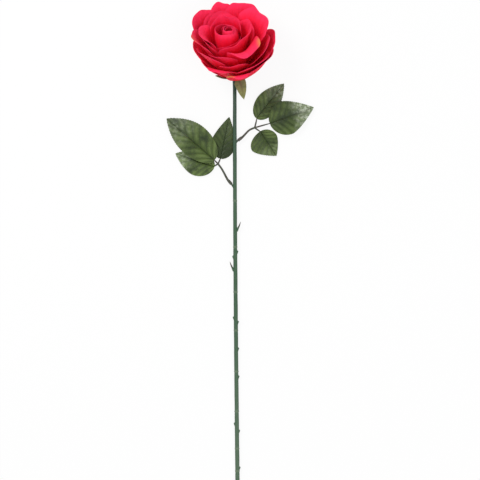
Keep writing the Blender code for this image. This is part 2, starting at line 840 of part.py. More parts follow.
def main():
    clear_scene()
    green = material("stem_green", (0.07, 0.13, 0.085), 0.55)
    dark_green = material("stalk_green", (0.03, 0.05, 0.03), 0.5)
    steel = material("core_steel", (0.35, 0.35, 0.36), 0.4, 1.0)
    olive = material("sepal_cloth", (0.17, 0.16, 0.05), 0.7)
    red = material("petal_cloth", (0.72, 0.02, 0.06), 0.7)
    bud_red = material("bud_cloth", (0.55, 0.005, 0.02), 0.7)
    leaf_green = material("leaf_cloth", (0.05, 0.09, 0.025), 0.35)

    make_stem(green)
    make_wire(steel)
    bloom = bloom_empty()
    make_calyx(green, bloom)
    make_core(green, bloom)
    make_sepals(olive, bloom)
    make_layer("outer_petals", 0, OUTER_LOBES, red, bloom)
    make_layer("second_petals", 1, SECOND_LOBES, red, bloom)
    make_layer("third_petals", 2, THIRD_LOBES, red, bloom)
    make_layer("fourth_petals", 3, FOURTH_LOBES, red, bloom)
    make_layer("inner_petals", 4, INNER_LOBES, red, bloom)
    make_layer("cup_petals", 5, CUP_LOBES, bud_red, bloom, 8)
    make_wrap("bud_wrap_outer", bud_red, bloom, 5.6, 6.25, 20.0, 1.3, 0.97, 24)
    make_wrap("bud_wrap_inner", bud_red, bloom, 6.35, 6.95, 200.0, 2.0, 0.97, 32)
    for leaf in LEAVES:
        make_leaf(leaf, leaf_green)
    for spray in SPRAYS:
        make_stalk(spray, dark_green)


main()
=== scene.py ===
import math

import bmesh
import bpy
from mathutils import Matrix, Vector, noise


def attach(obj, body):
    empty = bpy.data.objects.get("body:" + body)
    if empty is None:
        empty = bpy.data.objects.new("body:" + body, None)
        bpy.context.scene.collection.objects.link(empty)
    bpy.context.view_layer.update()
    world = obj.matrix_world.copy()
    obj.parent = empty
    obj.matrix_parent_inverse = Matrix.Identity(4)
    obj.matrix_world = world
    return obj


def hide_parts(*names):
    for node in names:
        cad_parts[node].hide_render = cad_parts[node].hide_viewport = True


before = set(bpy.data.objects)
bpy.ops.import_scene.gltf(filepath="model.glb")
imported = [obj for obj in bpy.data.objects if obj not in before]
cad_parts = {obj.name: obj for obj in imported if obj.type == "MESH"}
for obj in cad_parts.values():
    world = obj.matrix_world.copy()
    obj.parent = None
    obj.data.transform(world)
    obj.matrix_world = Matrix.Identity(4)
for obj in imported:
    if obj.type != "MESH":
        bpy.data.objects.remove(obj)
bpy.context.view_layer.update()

# A fabric rose on a plastic stem, lying on its back. Lengths are in millimetres unless a note says
# otherwise, and the rose's own frame is that of the fixed model: +Y along the stem, +Z up.

toMetres = 0.001
gap = 0.3                # clearance between neighbouring pieces


def report(words):
    print("rose:", words)


# Small tools for numbers and curves

def clamp(value, low=0.0, high=1.0):
    return max(low, min(high, value))


def smooth(value):
    value = clamp(value)
    return value * value * (3.0 - 2.0 * value)


def hill(value, centre, reach):
    return smooth(1.0 - abs(value - centre) / reach)


def cubic(points, t):
    s = 1.0 - t
    weights = (s * s * s, 3.0 * s * s * t, 3.0 * s * t * t, t * t * t)
    return [sum(w * p[axis] for w, p in zip(weights, points)) for axis in range(len(points[0]))]


def throughPoints(points, steps):
    # a smooth route through the given points, with a few steps in each span
    route = []
    last = len(points) - 1
    for i in range(last):
        before, here = points[max(i - 1, 0)], points[i]
        there, after = points[i + 1], points[min(i + 2, last)]
        for k in range(steps):
            t = k / steps
            out = here * 2.0 + (there - before) * t
            out += (before * 2.0 - here * 5.0 + there * 4.0 - after) * t * t
            out += (here * 3.0 - before - there * 3.0 + after) * t * t * t
            route.append(out / 2.0)
    route.append(points[last].copy())
    return route


# Shader helpers: one class for a socket with arithmetic, one for a whole finish

class Signal:
    def __init__(self, finish, socket):
        self.finish = finish
        self.socket = socket

    def maths(self, operation, a, b=None):
        values = {0: a} if b is None else {0: a, 1: b}
        return self.finish.node("ShaderNodeMath", {"operation": operation}, values)

    def __add__(self, other):
        return self.maths("ADD", self, other)

    def __radd__(self, other):
        return self.maths("ADD", other, self)

    def __sub__(self, other):
        return self.maths("SUBTRACT", self, other)

    def __rsub__(self, other):
        return self.maths("SUBTRACT", other, self)

    def __mul__(self, other):
        return self.maths("MULTIPLY", self, other)

    def __rmul__(self, other):
        return self.maths("MULTIPLY", other, self)

    def __pow__(self, other):
        return self.maths("POWER", self, other)

    def __abs__(self):
        return self.maths("ABSOLUTE", self)

    def sine(self):
        return self.maths("SINE", self)

    def fraction(self):
        return self.maths("FRACT", self)


class Finish:
    def __init__(self, name, world=None):
        # a new material, or the nodes of a world
        self.material = world or bpy.data.materials.new(name)
        self.material.use_nodes = True
        self.tree = self.material.node_tree
        self.tree.nodes.clear()

    def node(self, kind, settings=None, values=None, output=0):
        node = self.tree.nodes.new(kind)
        for key, value in (settings or {}).items():
            setattr(node, key, value)
        for key, value in (values or {}).items():
            socket = node.inputs[key]
            if isinstance(value, Signal):
                self.tree.links.new(value.socket, socket)
            elif isinstance(value, tuple) and len(value) == 3 and socket.type == "RGBA":
                socket.default_value = (*value, 1.0)
            else:
                socket.default_value = value
        return Signal(self, node.outputs[output]) if node.outputs else None

    def attribute(self, name):
        return self.node("ShaderNodeAttribute", {"attribute_name": name}, output="Fac")

    def place(self):
        return self.node("ShaderNodeTexCoord", output="Object")

    def noise(self, scale, detail=2.0, rough=0.5, vector=None):
        values = {"Scale": scale, "Detail": detail, "Roughness": rough,
                  "Vector": vector or self.place()}
        return self.node("ShaderNodeTexNoise", {}, values)

    def drawnNoise(self, scales):
        # noise with its own scale along each axis, so that it can be drawn out along the stem
        place = self.node("ShaderNodeVectorMath", {"operation": "MULTIPLY"},
                          {0: self.place(), 1: scales})
        return self.noise(1.0, 2.0, 0.6, place)

    def step(self, factor, low, high):
        values = {"Value": factor, "From Min": low, "From Max": high}
        return self.node("ShaderNodeMapRange", {"interpolation_type": "SMOOTHSTEP"}, values)

    def mix(self, factor, a, b):
        return self.node("ShaderNodeMix", {"data_type": "RGBA"}, {0: factor, 6: a, 7: b}, output=2)

    def joined(self, x, y, z=0.0):
        return self.node("ShaderNodeCombineXYZ", {}, {0: x, 1: y, 2: z})

    def relief(self, height, distance, strength=1.0):
        values = {"Height": height, "Distance": distance, "Strength": strength}
        return self.node("ShaderNodeBump", {}, values)

    def surface(self, values):
        shader = self.node("ShaderNodeBsdfPrincipled", {}, values)
        return self.close(shader)

    def close(self, shader):
        self.node("ShaderNodeOutputMaterial", {}, {"Surface": shader})
        return self.material


# Mesh tools

def finishMesh(name, bm, material, sharp=55.0):
    # turns a bmesh in millimetres into an object in metres, smooth but for its sharp edges
    bmesh.ops.scale(bm, vec=(toMetres,) * 3, verts=bm.verts)
    bmesh.ops.recalc_face_normals(bm, faces=bm.faces)
    mesh = bpy.data.meshes.new(name)
    bm.to_mesh(mesh)
    bm.free()
    mesh.shade_smooth()
    mesh.set_sharp_from_angle(angle=math.radians(sharp))
    mesh.materials.append(material)
    piece = bpy.data.objects.new(name, mesh)
    bpy.context.scene.collection.objects.link(piece)
    return piece


def bake(piece, sharp=55.0):
    # applies the modifiers for good
    seen = bpy.context.evaluated_depsgraph_get()
    seen.update()
    mesh = bpy.data.meshes.new_from_object(piece.evaluated_get(seen))
    piece.modifiers.clear()
    old = piece.data
    piece.data = mesh
    bpy.data.meshes.remove(old)
    mesh.name = piece.name
    mesh.shade_smooth()
    mesh.set_sharp_from_angle(angle=math.radians(sharp))


def thicken(piece, thickness):
    layer = piece.modifiers.new("cloth", "SOLIDIFY")
    layer.thickness = thickness * toMetres
    layer.offset = 0.0
    bake(piece)


def join(piece, other, operation):
    step = piece.modifiers.new("join", "BOOLEAN")
    step.operation = operation
    step.solver = "EXACT"
    step.object = other
    bake(piece, 40.0)
    bpy.data.objects.remove(other, do_unlink=True)


def framesAlong(points):
    last = len(points) - 1
    tangents = []
    for i in range(last + 1):
        after, before = points[min(i + 1, last)], points[max(i - 1, 0)]
        tangents.append((after - before).normalized())
    upright = abs(tangents[0].z) > 0.9
    side = tangents[0].cross(Vector((1, 0, 0) if upright else (0, 0, 1))).normalized()
    frames = []
    for tangent in tangents:
        side = (side - tangent * side.dot(tangent)).normalized()
        frames.append((tangent, side, side.cross(tangent)))
    return frames


def ringsAlong(bm, points, radius, sides):
    # rings of points along a route; radius is a function of the ring's number and the angle
    rings = []
    for number, (point, turned) in enumerate(zip(points, framesAlong(points))):
        ring = []
        for k in range(sides):
            angle = 2.0 * math.pi * k / sides
            out = turned[1] * math.cos(angle) + turned[2] * math.sin(angle)
            ring.append(bm.verts.new(point + out * radius(number, out)))
        rings.append(ring)
    for low, high in zip(rings, rings[1:]):
        for k in range(sides):
            bm.faces.new((low[k], low[(k + 1) % sides], high[(k + 1) % sides], high[k]))
    return rings


def rod(bm, points, radii, sides):
    rings = ringsAlong(bm, points, lambda number, out: radii[number], sides)
    bm.faces.new(rings[0])
    bm.faces.new(rings[-1][::-1])


def sheetOf(bm, grid, around=False):
    # faces over a grid of points
    for low, high in zip(grid, grid[1:]):
        count = len(low)
        for i in range(count if around else count - 1):
            j = (i + 1) % count
            bm.faces.new((low[i], low[j], high[j], high[i]))


def flatArea(bm):
    return sum(face.calc_area() for face in bm.faces)


def dress(piece, slot, *nodes):
    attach(piece, "root")
    if nodes:
        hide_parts(*nodes)


# Petal cloth: satin dyed red, with painted shade darker towards the base inside the bloom and a
# painted highlight paler towards the cut edge

petalLook = {
    # deep is painted shade towards the petal base; edge is a painted highlight towards the rim
    "deep": (0.86, 0.0008, 0.007),
    "body": (0.94, 0.005, 0.038),
    "edge": (0.95, 0.034, 0.120),
    "stain": (0.62, 0.36, 0.05),
    "roughness": 0.65,
    "sheen": 0.06,
    "weave": 0.32,
}


# shade scales every colour alike; below 1 it gives a darker copy of the cloth as painted shade
def petalFinish(name, look, shade=1.0):
    f = Finish(name)
    rim, side, stain = f.attribute("rim"), f.attribute("side"), f.attribute("stain")
    across, along = f.attribute("across"), f.attribute("along")
    cloud = f.noise(70.0, 3.0, 0.55)
    streak = f.noise(1.0, 2.0, 0.6, f.joined(across * 0.35, along * 0.03))
    deep = tuple(c * shade for c in look["deep"])
    body = tuple(c * shade for c in look["body"])
    edge = tuple(c * shade for c in look["edge"])
    # painted shade: the deep colour towards the petal base, inside the bloom
    colour = f.mix(f.step(rim + (cloud - 0.5) * 0.25, 0.15, 0.68), deep, body)
    # painted highlight: paler towards the rim
    paintedLight = f.step(rim + (streak - 0.5) * 0.30, 0.72, 1.04)
    colour = f.mix(paintedLight * 0.85, colour, edge)
    colour = f.mix(f.step(streak, 0.55, 0.85) * 0.18, colour, deep)
    # painted highlight: a thin paler line on the cut edge
    colour = f.mix(f.step(rim, 0.985, 1.0) * 0.45, colour, edge)
    colour = f.mix(stain * (0.55 + cloud * 0.6), colour, look["stain"])
    turn = 2.0 * math.pi / look["weave"]
    threads = (across * turn).sine() * (along * turn).sine()
    height = threads * 0.18 + streak * 1.0 + cloud * 0.8
    roughness = look["roughness"] + (streak - 0.5) * 0.2
    return f.surface({
        "Base Color": colour, "Roughness": roughness, "Sheen Weight": look["sheen"],
        "Sheen Roughness": 0.35, "Sheen Tint": (1.0, 0.30, 0.45, 1.0), "Specular IOR Level": 0.12,
        "Normal": f.relief(height, 0.0003, 0.8),
    })


# Leaves: printed cloth under a clear gloss, with pinnate veins, and a painted light level and a
# painted sheen for each leaf

leafLook = {
    "dark": (0.014, 0.028, 0.005),
    "mid": (0.058, 0.095, 0.011),
    "light": (0.17, 0.24, 0.075),
    "vein": (0.014, 0.026, 0.006),
    # whitish colour of the painted sheen
    "paintedSheen": (0.50, 0.56, 0.44),
    "back": (0.10, 0.155, 0.05),
    "roughness": 0.42,
    "veins": 7.0,
}


def leafFinish(name, look, paintedLight, paintedSheen):
    f = Finish(name)
    t, c = f.attribute("along"), f.attribute("across")
    far = abs(c)
    wave = (t - far * 0.34 + far * far * 0.10) * look["veins"]
    cell = abs(wave.fraction() - 0.5) * 2.0          # 1 on a side vein, 0 between two
    cloud = f.noise(55.0, 4.0, 0.6)
    fine = f.noise(420.0, 2.0, 0.6)
    # painted light: the share of lighter mid green stands in for how lit the leaf is, and a low value
    # is painted shade
    colour = f.mix(f.step(cloud, 0.25, 0.65) * (0.35 + 0.65 * paintedLight), look["dark"], look["mid"])
    belly = (1.0 - cell) * f.step(far, 0.04, 0.35)
    # lighter green between the side veins, stronger as the leaf's painted light rises
    colour = f.mix(belly * (0.16 + 0.62 * paintedLight) * f.step(cloud, 0.25, 0.65), colour, look["light"])
    colour = f.mix(f.step(cell, 0.86, 0.99) * f.step(far, 1.0, 0.2) * 0.55, colour, look["vein"])
    colour = f.mix(f.step(far, 0.055, 0.015) * 0.75, colour, look["vein"])
    # painted sheen: whitish patches over the outer part of the leaf, broken up by fine noise
    grain = f.step(f.noise(260.0, 2.0), 0.45, 0.62)
    outer = f.step(t + (cloud - 0.5) * 0.5, 0.40, 0.85)
    colour = f.mix(outer * (0.25 + grain * 0.55) * paintedSheen, colour, look["paintedSheen"])
    back = f.node("ShaderNodeNewGeometry", output="Backfacing")
    colour = f.mix(back * 0.5, colour, look["back"])
    height = (1.0 - cell ** 3.0) * 0.35 + fine * 0.25 - f.step(far, 0.06, 0.0) * 0.8
    return f.surface({
        "Base Color": colour, "Roughness": look["roughness"] + (fine - 0.5) * 0.25 + belly * 0.08,
        "Specular IOR Level": 0.24, "Coat Weight": 0.08, "Coat Roughness": 0.3,
        "Normal": f.relief(height, 0.0006, 0.9),
    })


# Moulded plastic of the stem, calyx and stalks

stemLook = {
    "mid": (0.040, 0.092, 0.048),
    # top is painted shade: darker towards the bloom end, where the leaf sprays shade the stem
    "top": (0.030, 0.060, 0.040),
    "low": (0.070, 0.122, 0.074),
    "scar": (0.150, 0.200, 0.130),
    "thorn": (0.050, 0.040, 0.030),
    "roughness": 0.50,
}


def stemFinish(name, look):
    f = Finish(name)
    y = f.node("ShaderNodeSeparateXYZ", {}, {0: f.place()}, output=1)
    mottle = f.noise(130.0, 3.0, 0.6)
    grain = f.drawnNoise((900.0, 60.0, 900.0))
    colour = f.mix(f.step(y, 0.02, 0.20), look["low"], look["mid"])
    # painted shade towards the bloom end under the leaf sprays; the calyx and peg, which share this
    # finish, get it too
    colour = f.mix(f.step(y, 0.30, 0.43), colour, look["top"])
    colour = f.mix(f.step(mottle, 0.45, 0.75) * 0.30, colour, look["low"])
    colour = f.mix(f.attribute("scar") * 0.6, colour, look["scar"])
    colour = f.mix(f.attribute("thorn"), colour, look["thorn"])
    return f.surface({
        "Base Color": colour, "Roughness": look["roughness"] + (grain - 0.5) * 0.25,
        "Specular IOR Level": 0.3,
        "Normal": f.relief(grain * 0.6 + mottle * 0.6, 0.0002, 0.8),
    })


stalkLook = {
    "green": (0.045, 0.062, 0.036),
    "brown": (0.050, 0.036, 0.028),
    "roughness": 0.5,
}


def stalkFinish(name, look):
    f = Finish(name)
    mottle = f.noise(220.0, 3.0, 0.6)
    return f.surface({
        "Base Color": f.mix(f.step(mottle, 0.35, 0.7), look["brown"], look["green"]),
        "Roughness": look["roughness"] + (mottle - 0.5) * 0.2,
        "Normal": f.relief(mottle, 0.0002, 0.8),
    })


sepalLook = {
    "body": (0.170, 0.160, 0.052),
    "tip": (0.270, 0.270, 0.080),
    "stripe": (0.110, 0.040, 0.022),
    "dark": (0.035, 0.050, 0.016),
    "roughness": 0.7,
}


def sepalFinish(name, look):
    f = Finish(name)
    t, c = f.attribute("rim"), f.attribute("side")
    cloud = f.noise(160.0, 3.0, 0.6)
    colour = f.mix(f.step(t, 0.35, 0.95), look["body"], look["tip"])
    colour = f.mix(f.step(abs(c), 0.40, 0.0) * f.step(t, 1.0, 0.4) * 0.6, colour, look["stripe"])
    colour = f.mix(f.step(cloud, 0.45, 0.75) * 0.5, colour, look["dark"])
    threads = f.noise(1500.0, 1.0)
    return f.surface({
        "Base Color": colour, "Roughness": look["roughness"], "Sheen Weight": 0.2,
        "Normal": f.relief(threads * 0.4 + cloud, 0.0002, 0.8),
    })


def steelFinish(name):
    f = Finish(name)
    drawn = f.drawnNoise((3000.0, 80.0, 3000.0))
    return f.surface({
        "Base Color": f.mix(drawn, (0.30, 0.30, 0.31), (0.48, 0.48, 0.49)), "Metallic": 1.0,
        "Roughness": 0.3 + drawn * 0.2,
        "Normal": f.relief(drawn, 0.00005, 0.6),
    })


# Stage: the camera first, then the floor and the lamps

stageLook = {
    "cameraPlace": (0.0027, 0.261, 1.95),       # metres
    "lens": 135.0,
    "floorHeight": -0.00262,                    # metres
    "floorReach": 4.0,                          # metres
    "floorGlow": 0.90,
    "keyPlace": (-0.75, 0.95, 1.30),            # metres
    "keyPower": 11.0,
    "keySize": 0.55,                            # metres
    "fillPlace": (0.7, -0.1, 1.5),              # metres
    "fillPower": 8.0,
    "fillSize": 1.2,                            # metres
    "aim": (0.0, 0.33, 0.0),                    # metres, where the lamps point
    "ambient": 0.70,
}


def buildStage(look):
    camera = bpy.data.objects.new("camera", bpy.data.cameras.new("camera"))
    camera.data.lens = look["lens"]
    camera.data.clip_end = 50.0
    camera.location = look["cameraPlace"]
    bpy.context.scene.collection.objects.link(camera)
    bpy.context.scene.camera = camera
    bpy.context.scene.view_settings.view_transform = "Standard"

    mesh = bpy.data.meshes.new("floor")
    reach, height = look["floorReach"], look["floorHeight"]
    corners = [(x * reach, y * reach, height) for x, y in ((-1, -1), (1, -1), (1, 1), (-1, 1))]
    mesh.from_pydata(corners, [], [(0, 1, 2, 3)])
    floor = bpy.data.objects.new("floor", mesh)
    bpy.context.scene.collection.objects.link(floor)
    f = Finish("paper_floor")
    ray = f.node("ShaderNodeLightPath", output="Is Camera Ray")
    glossy = f.node("ShaderNodeLightPath", output="Is Glossy Ray")
    clear = f.node("ShaderNodeLightPath", output="Is Transmission Ray")
    plain = f.node("ShaderNodeBsdfDiffuse", {}, {"Color": (0.80, 0.80, 0.80)})
    glow = f.node("ShaderNodeEmission", {}, {"Color": (1.0, 1.0, 1.0), "Strength": 1.0})
    seen = ray.maths("MINIMUM", ray + glossy + clear, 1.0) * look["floorGlow"]
    mesh.materials.append(f.close(f.node("ShaderNodeMixShader", {}, {0: seen, 1: plain, 2: glow})))

    for kind in ("key", "fill"):
        name = kind + "_lamp"
        lamp = bpy.data.objects.new(name, bpy.data.lights.new(name, "AREA"))
        lamp.data.energy = look[kind + "Power"]
        lamp.data.size = look[kind + "Size"]
        lamp.location = look[kind + "Place"]
        aim = Vector(look["aim"]) - Vector(look[kind + "Place"])
        lamp.rotation_euler = aim.to_track_quat("-Z", "Y").to_euler()
        bpy.context.scene.collection.objects.link(lamp)

    # the camera sees a white room, and the rose is lit by a dimmer one
    world = bpy.data.worlds.new("room")
    bpy.context.scene.world = world
    f = Finish("room", world)
    ray = f.node("ShaderNodeLightPath", output="Is Camera Ray")
    dim = f.node("ShaderNodeBackground", {}, {"Color": (1.0, 1.0, 1.0), "Strength": look["ambient"]})
    white = f.node("ShaderNodeBackground", {}, {"Color": (1.0, 1.0, 1.0), "Strength": 1.0})
    room = f.node("ShaderNodeMixShader", {}, {0: ray, 1: dim, 2: white})
    f.node("ShaderNodeOutputWorld", {}, {"Surface": room})


buildStage(stageLook)
report("stage is set")


# Stem: a moulded sheath over a steel wire, with joint rings, nubs and thorns

stem = {
    "run": 421.0,
    "endRadius": 2.35,
    "neckRadius": 2.05,
    "drift": -3.0,
    "lift": 2.5,
    "bendRadius": 18.0,
    "straight": 3.9,
    "boreRadius": 1.3,
    "boreGap": 3.7,
    "rings": (10.8, 35.1, 75.5, 118.5, 163.0, 204.7, 253.5, 303.3),
    "ringHeight": 0.30,
    "nubs": ((14.0, 1), (54.0, 1), (61.7, -1), (112.7, 1), (143.0, 1), (172.0, 1), (176.6, -1),
             (242.6, -1), (248.0, 1)),
    "nubHeight": 1.15,
    "thorns": ((272.8, 1), (229.6, -1)),
    "thornLength": 11.0,
    "thornRadius": 1.2,
    "thornTip": 0.12,
    "thornSlope": 25.0,      # degrees
    "thornSteps": 24,
    "sides": 36,
    "fineStep": 0.34,        # between stations beside a ring or nub
    "fineReach": 3.6,
    "coarseStep": 1.2,
}

bloom = {
    "rise": 46.5,
    "lean": 4.5,
    "radius": 45.0,
    "height": 67.0,
    "budShift": (-8.0, 2.0),
    "eyeShift": (6.0, 0.5),
    "shiftStart": 12.0,
    "closed": 0.36,          # how much narrower the closed side is at its foot
    "closedSide": 252.0,     # degrees
    "closedReach": 120.0,    # degrees
    "closedHeight": 58.0,
    "calyxTop": 3.2,
    "calyxBottom": -2.5,
    "calyxRadius": 6.2,
    "socketTop": 1.2,
    "pegRadius": 1.3,
    "collarGap": 0.65,
    "collarPitch": 1.0,
    "collarRadius": 6.0,
    "cloth": 0.4,
    "wideCrease": (0.045, 1.1),         # scale and height
    "fineCrease": (0.11, 0.35),
    # each layer's outline from the collar to the rim, as shares of the radius and the height
    "meridians": (
        ((0.60, 0.085), (0.82, 0.39), (1.00, 0.61)),
        ((0.53, 0.11), (0.77, 0.45), (0.97, 0.70)),
        ((0.48, 0.14), (0.72, 0.62), (0.97, 0.92)),
        ((0.39, 0.18), (0.63, 0.72), (0.91, 1.01)),
        ((0.32, 0.23), (0.47, 0.76), (0.66, 1.02)),
        ((0.27, 0.28), (0.42, 0.74), (0.38, 0.96)),
        ((0.19, 0.33), (0.36, 0.86), (0.20, 0.985)),
        ((0.075, 0.38), (0.20, 0.95), (0.04, 1.00)),
    ),
    "creaseSeed": 7,         # any whole number but 0, which would take the clock
}

noise.seed_set(bloom["creaseSeed"])      # the petals are creased alike in each run


def stemCentre(distance):
    share = clamp(distance / stem["run"])
    x = stem["drift"] * math.sin(share * math.pi / 2.0)
    z = stem["lift"] * (1.0 - math.cos(share * math.pi)) / 2.0
    return Vector((x, distance, z))


def bloomAxis():
    rise, lean = math.radians(bloom["rise"]), math.radians(bloom["lean"])
    level = math.cos(rise)
    return Vector((-math.sin(lean) * level, math.cos(lean) * level, math.sin(rise)))


def neckPoints(stepDegrees):
    along = Vector((0.0, 1.0, 0.0))
    axis = bloomAxis()
    turn = along.angle(axis)
    inward = (axis - along * axis.dot(along)).normalized()
    count = math.ceil(math.degrees(turn) / stepDegrees)
    points = []
    for i in range(1, count + 1):
        angle = turn * i / count
        arc = along * math.sin(angle) + inward * (1.0 - math.cos(angle))
        points.append(stemCentre(stem["run"]) + arc * stem["bendRadius"])
    points.append(points[-1] + axis * stem["straight"])
    return points


def sheathRadius(distance):
    share = clamp(distance / stem["run"])
    return stem["endRadius"] + (stem["neckRadius"] - stem["endRadius"]) * share


def ringRelief(distance):
    # raised joint rings with a shallow groove beside each
    relief = 0.0
    for place in stem["rings"]:
        off = distance - place
        relief += stem["ringHeight"] * math.exp(-(off / 0.62) ** 2)
        relief -= 0.10 * math.exp(-((off + 1.5) / 0.6) ** 2)
    return relief


def nubRelief(distance, out):
    # small pointed scales at the sides, which rise slowly and end steeply
    relief = 0.0
    for place, side in stem["nubs"]:
        off = distance - place
        if abs(off) < 4.0:
            along = smooth((off + 3.2) / 4.2) if off < 1.0 else smooth(1.0 - (off - 1.0) / 0.9)
            relief += stem["nubHeight"] * along * smooth((out.x * side - 0.72) / 0.28)
    return relief


def buildStem():
    features = stem["rings"] + tuple(nub[0] for nub in stem["nubs"])
    stations = []
    distance = 0.0
    while distance < stem["run"]:
        stations.append(distance)
        close = min(abs(distance - place) for place in features)
        distance += stem["fineStep"] if close < stem["fineReach"] else stem["coarseStep"]
    points = [stemCentre(d) for d in stations] + neckPoints(4.0)
    tail = len(points) - len(stations)

    def radius(number, out):
        if number >= len(stations):
            return stem["neckRadius"]
        d = stations[number]
        lumps = noise.noise(Vector((out.x * 1.5, d * 0.09, out.z * 1.5))) * 0.10 * smooth(d / 6.0)
        return sheathRadius(d) + ringRelief(d) + nubRelief(d, out) + lumps

    bm = bmesh.new()
    outer = ringsAlong(bm, points, radius, stem["sides"])
    for vert in outer[0]:
        vert.co.y = 0.0
    axis = bloomAxis()
    neck = neckPoints(8.0)
    boreRoute = [Vector((0.0, 0.0, 0.0))] + [stemCentre(stem["run"] * i / 18) for i in range(1, 19)]
    boreRoute += neck[:-1] + [neck[-1] - axis * stem["boreGap"]]
    inner = ringsAlong(bm, boreRoute, lambda number, out: stem["boreRadius"], stem["sides"])
    for vert in inner[0]:
        vert.co.y = 0.0
    for k in range(stem["sides"]):
        j = (k + 1) % stem["sides"]
        bm.faces.new((outer[0][k], outer[0][j], inner[0][j], inner[0][k]))
    bm.faces.new(outer[-1])
    bm.faces.new(inner[-1])
    report(f"stem: {len(stations)} stations, {tail} in the neck")
    piece = finishMesh("stem_skin", bm, stemFinish("stem_plastic_look", stemLook), 40.0)

    bm = bmesh.new()
    slope = math.radians(stem["thornSlope"])
    for place, side in stem["thorns"]:
        centre = stemCentre(place)
        ahead = Vector((side * math.sin(slope), math.cos(slope), 0.0))
        root = centre + Vector((side * sheathRadius(place) * 0.6, -2.0, 0.0))
        route, radii = [], []
        for i in range(stem["thornSteps"] + 1):
            share = i / stem["thornSteps"]
            hook = Vector((side * 0.5 * math.sin(share * math.pi), 0.0, 0.3 * share))
            route.append(root + ahead * stem["thornLength"] * share + hook)
            flare = 0.35 * smooth(1.0 - share / 0.35)
            taper = 1.0 + flare - 0.85 * share ** 1.3
            radii.append(stem["thornRadius"] * taper if share < 1.0 else stem["thornTip"])
        rod(bm, route, radii, 14)
    for spray in sprays:
        start, ahead, mouth = stubLine(spray)
        route = [start, start + ahead * (mouth - gap), start + ahead * (mouth + stalks["grip"])]
        rod(bm, route, [stalks["sleeveRadius"], stalks["stubRadius"], stalks["stubRadius"]], 16)
    join(piece, finishMesh("stem_features", bm, piece.data.materials[0]), "UNION")
    mesh = piece.data
    scar = mesh.attributes.new("scar", "FLOAT", "POINT")
    thorn = mesh.attributes.new("thorn", "FLOAT", "POINT")
    for index, vert in enumerate(mesh.vertices):
        x, y, z = vert.co / toMetres
        scar.data[index].value = max(hill(y, place, 2.2) for place in stem["rings"])
        off = Vector((x, y, z)) - stemCentre(y)
        off.y = 0.0
        if y < stem["run"]:
            thorn.data[index].value = smooth((off.length - sheathRadius(y) - 1.0) / 1.2)
    dress(piece, "stem_plastic", "stem")


# Leaf stalks: a sleeve on the stem's stub, a thin trunk and one branch under each leaf

stalks = {
    "radius": 1.05,
    "branchRadius": 0.8,
    "ribRadius": 0.5,
    "tipRadius": 0.3,
    "sleeveRadius": 1.7,
    "sleeveLength": 7.0,
    "stubRadius": 0.9,
    "grip": 5.0,
    "ribShare": 0.7,
}

leafCut = {
    "cloth": 0.5,
    "roundness": 0.5,
    "teeth": 27,
    "tooth": 0.50,
    "quilt": 0.14,
    "rows": 6,               # rows of points for each tooth
    "columns": 16,           # columns of points on each side of the midrib
}


def leaf(name, base, tip, left, right, heights, folds, belly, point, paintedLight, paintedSheen, flat, area):
    return {"name": name, "base": Vector(base), "tip": Vector(tip), "left": left, "right": right,
            "heights": heights, "folds": folds, "belly": belly, "point": point, "paintedLight": paintedLight,
            "paintedSheen": paintedSheen, "flat": flat, "area": area}


leaves = (
    # each leaf has a painted light level, low for a leaf painted in shade, and a painted sheen
    # strength
    leaf("left_leaf_end", (-24.7, 347.2), (-76.9, 392.6), 15.5, 19.0,
         heights=(2.8, 6.0, 0.2), folds=(0.12, 0.10), belly=0.45, point=2.0,
         paintedLight=0.55, paintedSheen=0.25, flat=(35.5, 70.0), area=1754.0),
    leaf("left_leaf_outer", (-24.9, 340.2), (-67.3, 354.7), 15.8, 11.5,
         heights=(-0.5, 0.4, -0.6), folds=(0.08, -0.02), belly=0.42, point=1.7,
         paintedLight=1.00, paintedSheen=0.45, flat=(28.3, 45.5), area=869.0),
    leaf("left_leaf_inner", (-18.5, 349.0), (-8.9, 394.4), 13.6, 13.0,
         heights=(-0.5, -0.4, 0.6), folds=(0.10, -0.01), belly=0.37, point=1.4,
         paintedLight=0.00, paintedSheen=0.05, flat=(27.6, 47.0), area=832.0),
    leaf("right_leaf_top", (20.5, 392.6), (50.4, 430.5), 13.2, 11.6,
         heights=(-0.4, 1.0, -0.4), folds=(0.18, 0.02), belly=0.42, point=1.8,
         paintedLight=0.45, paintedSheen=0.40, flat=(25.8, 49.0), area=865.0),
    leaf("right_leaf_end", (34.8, 387.0), (82.7, 404.7), 18.0, 19.0,
         heights=(2.6, 6.0, 0.5), folds=(0.11, 0.11), belly=0.38, point=1.4,
         paintedLight=0.40, paintedSheen=0.90, flat=(38.0, 52.0), area=1276.0),
    leaf("right_leaf_low", (24.8, 378.8), (42.2, 352.2), 12.4, 19.0,
         heights=(-0.4, 0.4, -0.6), folds=(0.02, 0.12), belly=0.40, point=1.5,
         paintedLight=0.50, paintedSheen=0.15, flat=(32.4, 32.5), area=688.0),
)

sprays = (
    {"name": "left_stalk", "place": 317.0, "heading": 130.0,
     "route": ((-16.6, 337.2, 1.6), (-21.0, 343.4, 1.0)), "leaves": leaves[:3]},
    {"name": "right_stalk", "place": 366.0, "heading": 38.0,
     "route": ((12.6, 379.8, 1.6), (18.6, 382.6, 1.0)), "leaves": leaves[3:]},
)


def leafHalfWidth(one, t):
    belly = one["belly"]
    if t < belly:
        return (1.0 - ((belly - t) / belly) ** 2) ** leafCut["roundness"]
    return 1.0 - ((t - belly) / (1.0 - belly)) ** one["point"]


